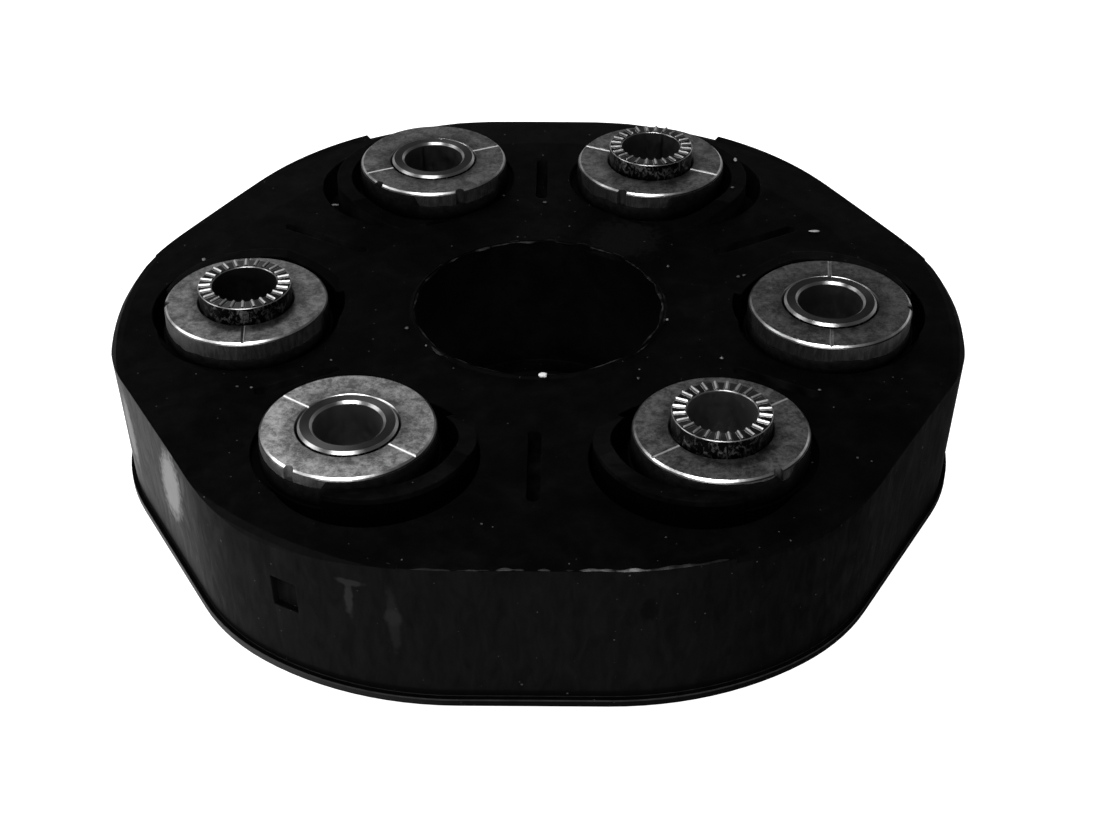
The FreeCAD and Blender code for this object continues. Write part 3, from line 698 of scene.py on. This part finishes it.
# The painted highlights are the stretches where the flash shines: start, end, tone. Elsewhere the flash is
# dull.
frontFlash = {
    "span": (252.8, 295.4),
    "step": 0.25,
    "level": 14.95,
    "halfWidth": 0.30,
    "halfHeight": 0.16,
    "swell": 1.3,
    "swellScale": 0.55,
    "leastSwell": 0.25,
    "endSwell": 0.3,
    "taper": 8.0,
    "wander": 0.12,
    "wanderScale": 0.9,
    "sink": 0.02,
    "seed": 11,
    "paintedHighlights": [
        (255.5, 260.0, 0.010), (262.0, 266.0, 0.020), (267.0, 271.5, 0.024), (276.8, 279.3, 0.07),
        (280.7, 283.3, 0.12), (285.0, 286.3, 0.03), (287.6, 289.4, 0.02), (293.0, 294.5, 0.008),
    ],
    "bitEdge": 0.3,
    "dull": 0.003,
    "patches": (0.55, 4.0, 0.7, 0.5),
    "patchShade": [(0.35, 0.3), (0.6, 1.0)],
    "roughness": [(0.46, 0.75), (0.68, 0.32)],
    "specular": 0.12,
    "fine": (2.5, 3.0, 0.6),
    "bump": (0.08, 0.7),
}


def makeFlashMaterial():
    material, tree, shader = startMaterial("shinyFlash")
    patches = noise(tree, millimetres(tree), *frontFlash["patches"])
    turn = sums(tree, "DIVIDE", polarPlace(tree)[0], 360.0)
    edge, dull = frontFlash["bitEdge"], frontFlash["dull"]
    stops = []
    for start, end, shade in frontFlash["paintedHighlights"]:
        stops += [(start - edge, dull), (start, shade), (end, shade), (end + edge, dull)]
    # the painted highlights on each half share a ramp, because one holds no more than 32 stops
    half = len(stops) // 2
    left, right = byAngle(tree, turn, stops[:half]), byAngle(tree, turn, stops[half:])
    onRight = sums(tree, "GREATER_THAN", turn, (stops[half - 1][0] + stops[half][0]) / 720.0)
    tone = blendColours(tree, onRight, left, right)
    tone = multiplied(tree, tone, ramp(tree, patches, frontFlash["patchShade"]))
    tree.links.new(tone, shader.inputs["Base Color"])
    tree.links.new(ramp(tree, patches, frontFlash["roughness"]), shader.inputs["Roughness"])
    shader.inputs["Specular IOR Level"].default_value = frontFlash["specular"]
    fine = noise(tree, millimetres(tree), *frontFlash["fine"])
    tree.links.new(bump(tree, fine, *frontFlash["bump"]), shader.inputs["Normal"])
    return material


def makeFrontFlash():
    # the ragged line of flash along the top edge at the front
    start, end = frontFlash["span"]
    steps = int((end - start) / frontFlash["step"])
    seed, taper, endSwell = frontFlash["seed"], frontFlash["taper"], frontFlash["endSwell"]
    spine = []
    for number in range(steps + 1):
        degrees = start + number * frontFlash["step"]
        outward = direction(math.radians(degrees))
        ends = min(1.0, taper * number / steps, taper * (steps - number) / steps)
        swell = 1.0 + frontFlash["swell"] * raggedAlong(seed, degrees, frontFlash["swellScale"])
        swell = max(frontFlash["leastSwell"], swell) * (endSwell + (1.0 - endSwell) * ends)
        wide, tall = frontFlash["halfWidth"] * swell, frontFlash["halfHeight"] * swell
        wander = frontFlash["wander"] * raggedAlong(seed + 1, degrees, frontFlash["wanderScale"])
        place = fromOutside(outward, frontFlash["level"] / 1000.0) + Vector((0.0, 0.0, wander / 1000.0))
        place -= outward * (wide + frontFlash["sink"]) / 1000.0
        spine.append((place, outward, wide / 1000.0, tall / 1000.0))
    addPiece("frontFlashBead", beadMesh("frontFlashBead", spine), makeFlashMaterial())


rimFlash = {
    "radius": 23.85,
    "root": 24.3,
    "steps": 300,
    "halfWidth": 0.55,
    "halfHeight": 0.12,
    "wander": 0.7,
    "wanderScale": 6.0,
    "swell": (0.5, 1.1),
    "swellScale": 3.0,
    "seed": 23,
    "patches": (0.35, 4.0, 0.65),
    "tones": [(0.47, 0.0006), (0.62, 0.020)],
    "roughness": 0.5,
    "specular": 0.04,
    "fine": (2.0, 3.0, 0.6),
    "bump": (0.1, 0.7),
}


def makeRimFlash():
    # the torn edge of the skin round the centre hole
    root, seed = rimFlash["root"] / 1000.0, rimFlash["seed"]
    least, more = rimFlash["swell"]
    spine = []
    for step in range(rimFlash["steps"] + 1):
        outward = direction(2.0 * math.pi * (step % rimFlash["steps"]) / rimFlash["steps"])
        torn = raggedRound(outward, rimFlash["wanderScale"], seed)
        reach = rimFlash["radius"] + rimFlash["wander"] * torn
        place = fromAbove(outward.x * root, outward.y * root) + outward * (reach / 1000.0 - root)
        swell = least + more * abs(raggedRound(outward, rimFlash["swellScale"], seed + 5.0))
        wide, tall = rimFlash["halfWidth"] * swell, rimFlash["halfHeight"] * swell
        spine.append((place, outward, wide / 1000.0, tall / 1000.0))
    addPiece("rimFlashBead", beadMesh("rimFlashBead", spine), mottledFinish("rimFlashRubber", rimFlash))


# A skin of rubber climbs each collar's side nearly to the top, but only to its bare top between two directions.
footSkins = {
    "radius": 15.16,
    "thickness": 0.22,
    "foot": 13.9,
    "top": 19.7,
    "bareTops": {1: 17.3, 2: 17.4, 3: 16.9, 4: 18.1, 5: 17.8, 6: 17.0},
    "bare": {1: (195, 284), 2: (258, 335), 3: (183, 345), 4: (178, 262), 5: (304, 320), 6: (190, 345)},
    "bareBlend": 4.0,
    "lean": 0.3,
    "ragged": 0.5,
    "raggedScale": 2.2,
    "seedStep": 4.1,
    "steps": 240,
    "patches": (0.8, 5.0, 0.65),
    # the skin's tones are painted paler than the top's, as painted light like the lit ring tops
    "tones": [(0.35, 0.0012), (0.65, 0.0034)],
    "roughness": 0.62,
    "specular": 0.018,
    "bump": (0.12, 0.7),
}


def footSkinMesh(name, number):
    middle = bushMiddle(number)
    inner, outer = footSkins["radius"], footSkins["radius"] + footSkins["thickness"]
    foot, top = footSkins["foot"], footSkins["top"]
    start, end = footSkins["bare"][number]
    seed = number * footSkins["seedStep"]
    grid = bmesh.new()
    loops = []
    for step in range(footSkins["steps"]):
        around = 2.0 * math.pi * step / footSkins["steps"]
        outward = direction(around)
        wander = outward * footSkins["raggedScale"]
        lift = raggedRound(wander, 1.0, seed) + 0.5 * raggedRound(wander, 4.0, seed + 2.0)
        within = min(math.degrees(around) - start, end - math.degrees(around))
        bare = min(max(within / footSkins["bareBlend"], 0.0), 1.0)
        edge = top + (footSkins["bareTops"][number] - top) * bare
        edge = min(edge + footSkins["ragged"] * lift, top)
        corners = [(outer, foot), (outer, edge - footSkins["lean"]), (inner, edge), (inner, foot)]
        loops.append([
            grid.verts.new((middle + outward * reach + Vector((0.0, 0.0, level))) / 1000.0)
            for reach, level in corners
        ])
    for first, second in zip(loops, loops[1:] + loops[:1]):
        for corner in range(4):
            following = (corner + 1) % 4
            grid.faces.new((first[corner], second[corner], second[following], first[following]))
    bmesh.ops.recalc_face_normals(grid, faces=grid.faces)
    return finishedMesh(grid, name)


def makeFootSkins():
    material = mottledFinish("skinRubber", footSkins)
    for number in bushes:
        name = "footSkin%d" % number
        addPiece(name, footSkinMesh(name, number), material)


# Crumbs lie where they caught: place in millimetres, half sizes, tone. The finish's tones are shares of it.
crumbs = {
    "holeRimNib": {"at": (1.2, -23.9), "size": (0.85, 0.55, 0.45), "tone": 0.75},
    "slotCrumbLeftEnd": {"at": (-49.6, -27.5), "size": (0.32, 0.2, 0.15), "tone": 0.12},
    "slotCrumbLeftTip": {"at": (-51.1, -27.5), "size": (0.26, 0.2, 0.15), "tone": 0.09},
    "slotCrumbRight": {"at": (33.9, -17.4), "size": (0.3, 0.3, 0.2), "tone": 0.16},
    "slotCrumbMiddle": {"at": (-37.7, -18.7), "size": (0.24, 0.2, 0.15), "tone": 0.05},
    "slotFlakeRight": {"at": (49.4, -27.4), "size": (0.34, 0.2, 0.15), "tone": 0.10},
    "slotFlakeRightTip": {"at": (50.8, -27.3), "size": (0.3, 0.2, 0.15), "tone": 0.08},
    "ringFlakeRear": {"at": (41.1, 53.5), "size": (0.35, 0.75, 0.2), "tone": 0.30},
    "ringCrumbRear": {"at": (39.7, 41.4), "size": (0.4, 0.3, 0.2), "tone": 0.04},
    "sideFlakeLeft": {"at": (-66.6, 16.6), "size": (0.4, 0.45, 0.2), "tone": 0.12},
    "rearFlake": {"at": (0.8, 39.8), "size": (0.5, 0.3, 0.2), "tone": 0.015},
    # these two are painted highlights: pale crumbs put where the rubber glints
    "slotGlintRear": {"at": (55.5, 28.5), "size": (1.1, 0.35, 0.22), "tone": 0.30},
    "ringGlintLeftRear": {"at": (-44.5, 51.0), "size": (0.9, 0.3, 0.2), "tone": 0.25},
    "sideCrumbRight": {"at": (40.2, 11.4), "size": (0.5, 0.3, 0.2), "tone": 0.03},
    "sideCrumbRightLow": {"at": (38.9, 10.9), "size": (0.35, 0.25, 0.2), "tone": 0.03},
    "rimCrumbLeft": {"at": (-24.6, -7.9), "size": (0.35, 0.35, 0.2), "tone": 0.05},
    "rimCrumbFrontLeft": {"at": (-20.6, -13.8), "size": (0.25, 0.3, 0.2), "tone": 0.05},
    "rimCrumbRight": {"at": (24.4, -4.6), "size": (0.28, 0.3, 0.2), "tone": 0.16},
    "rimCrumbFrontRight": {"at": (18.4, -24.0), "size": (0.25, 0.3, 0.2), "tone": 0.04},
    "rearCrumbRight": {"at": (25.3, 14.6), "size": (0.25, 0.3, 0.2), "tone": 0.05},
}
crumbRubber = {
    "ragged": 0.45,
    "raggedScale": 1.7,
    "seedStep": 5.3,
    "lift": 0.4,
    "patches": (3.0, 3.0, 0.6),
    "tones": [(0.3, 0.5), (0.7, 1.0)],
    "roughness": 0.6,
    "bump": (0.05, 0.5),
}


def crumbMesh(name, centre, size, seed):
    # a small torn crumb, flattened and rough
    grid = bmesh.new()
    bmesh.ops.create_icosphere(grid, subdivisions=2, radius=1.0)
    for point in grid.verts:
        rough = noiseTools.noise(point.co * crumbRubber["raggedScale"] + Vector((seed, 0.0, 0.0)))
        push = 1.0 + crumbRubber["ragged"] * rough
        point.co = centre + Vector([part * half * push for part, half in zip(point.co, size)]) / 1000.0
    return finishedMesh(grid, name)


def makeCrumbs():
    for number, (name, crumb) in enumerate(crumbs.items()):
        tones = [(stop, share * crumb["tone"]) for stop, share in crumbRubber["tones"]]
        material = mottledFinish(name, {**crumbRubber, "tones": tones})
        x, y = crumb["at"]
        lift = Vector((0.0, 0.0, crumb["size"][2] * crumbRubber["lift"] / 1000.0))
        place = fromAbove(x / 1000.0, y / 1000.0) + lift
        addPiece(name, crumbMesh(name, place, crumb["size"], number * crumbRubber["seedStep"]), material)


makeFrontFlash()
makeRimFlash()
makeFootSkins()
makeCrumbs()
print("flash and crumbs made")

# The sky is white as far up as its first stop, and nearly black from its second.
studio = {
    "floorSize": 3.0,
    "floorTone": 0.42,
    "floorGlow": 0.72,
    "floorLift": 0.35,
    "sky": [(0.18, 1.0), (0.36, 0.05)],
}
lamps = {
    "keySoftbox": {"from": (-0.10, -0.44, 0.60), "size": (0.42, 0.30), "power": 6.5},
    "leftSoftbox": {"from": (-0.70, -0.10, 0.35), "size": (0.40, 0.40), "power": 2.5},
    "rearLeftSoftbox": {"from": (-0.26, 0.46, 0.66), "size": (0.26, 0.22), "power": 1.0},
}


def makeFloorMaterial():
    material = bpy.data.materials.new("whiteFloor")
    material.use_nodes = True
    tree = material.node_tree
    tree.nodes.clear()
    output = tree.nodes.new("ShaderNodeOutputMaterial")
    plain = tree.nodes.new("ShaderNodeBsdfDiffuse")
    plain.inputs["Color"].default_value = (*grey(studio["floorTone"]), 1.0)
    # camera, glossy and transmission rays see the plain white of the set, and the camera a little more
    path = tree.nodes.new("ShaderNodeLightPath")
    seen = sums(tree, "ADD", path.outputs["Is Camera Ray"], path.outputs["Is Glossy Ray"])
    seen = sums(tree, "ADD", seen, path.outputs["Is Transmission Ray"], clamp=True)
    lifted = times(tree, path.outputs["Is Camera Ray"], studio["floorLift"])
    glow = tree.nodes.new("ShaderNodeEmission")
    strength = sums(tree, "ADD", times(tree, seen, studio["floorGlow"]), lifted)
    tree.links.new(strength, glow.inputs["Strength"])
    both = tree.nodes.new("ShaderNodeAddShader")
    tree.links.new(plain.outputs["BSDF"], both.inputs[0])
    tree.links.new(glow.outputs["Emission"], both.inputs[1])
    # from below the floor lets the view through
    geometry = tree.nodes.new("ShaderNodeNewGeometry")
    clear = tree.nodes.new("ShaderNodeBsdfTransparent")
    oneSided = tree.nodes.new("ShaderNodeMixShader")
    tree.links.new(geometry.outputs["Backfacing"], oneSided.inputs["Fac"])
    tree.links.new(both.outputs["Shader"], oneSided.inputs[1])
    tree.links.new(clear.outputs["BSDF"], oneSided.inputs[2])
    tree.links.new(oneSided.outputs["Shader"], output.inputs["Surface"])
    return material


def makeFloor():
    half = studio["floorSize"] / 2
    level = cadLow.z
    corners = [(-half, -half, level), (half, -half, level), (half, half, level), (-half, half, level)]
    mesh = bpy.data.meshes.new("studioFloor")
    mesh.from_pydata(corners, [], [(0, 1, 2, 3)])
    floor = bpy.data.objects.new("studioFloor", mesh)
    bpy.context.scene.collection.objects.link(floor)
    mesh.materials.append(makeFloorMaterial())


def makeWorld():
    world = bpy.data.worlds.new("whiteStudio")
    bpy.context.scene.world = world
    world.use_nodes = True
    tree = world.node_tree
    tree.nodes.clear()
    output = tree.nodes.new("ShaderNodeOutputWorld")
    background = tree.nodes.new("ShaderNodeBackground")
    upwards = component(tree, tree.nodes.new("ShaderNodeTexCoord").outputs["Generated"], "Z")
    tree.links.new(ramp(tree, upwards, studio["sky"], True), background.inputs["Color"])
    tree.links.new(background.outputs["Background"], output.inputs["Surface"])


def makeLamps():
    for name, lamp in lamps.items():
        data = bpy.data.lights.new(name, "AREA")
        data.shape = "RECTANGLE"
        data.size, data.size_y = lamp["size"]
        data.energy = lamp["power"]
        holder = bpy.data.objects.new(name, data)
        bpy.context.scene.collection.objects.link(holder)
        holder.location = lamp["from"]
        holder.rotation_euler = (-holder.location).to_track_quat("-Z", "Y").to_euler()


makeFloor()
makeWorld()
makeLamps()
bpy.context.scene.view_settings.view_transform = "Standard"
print("studio lit")
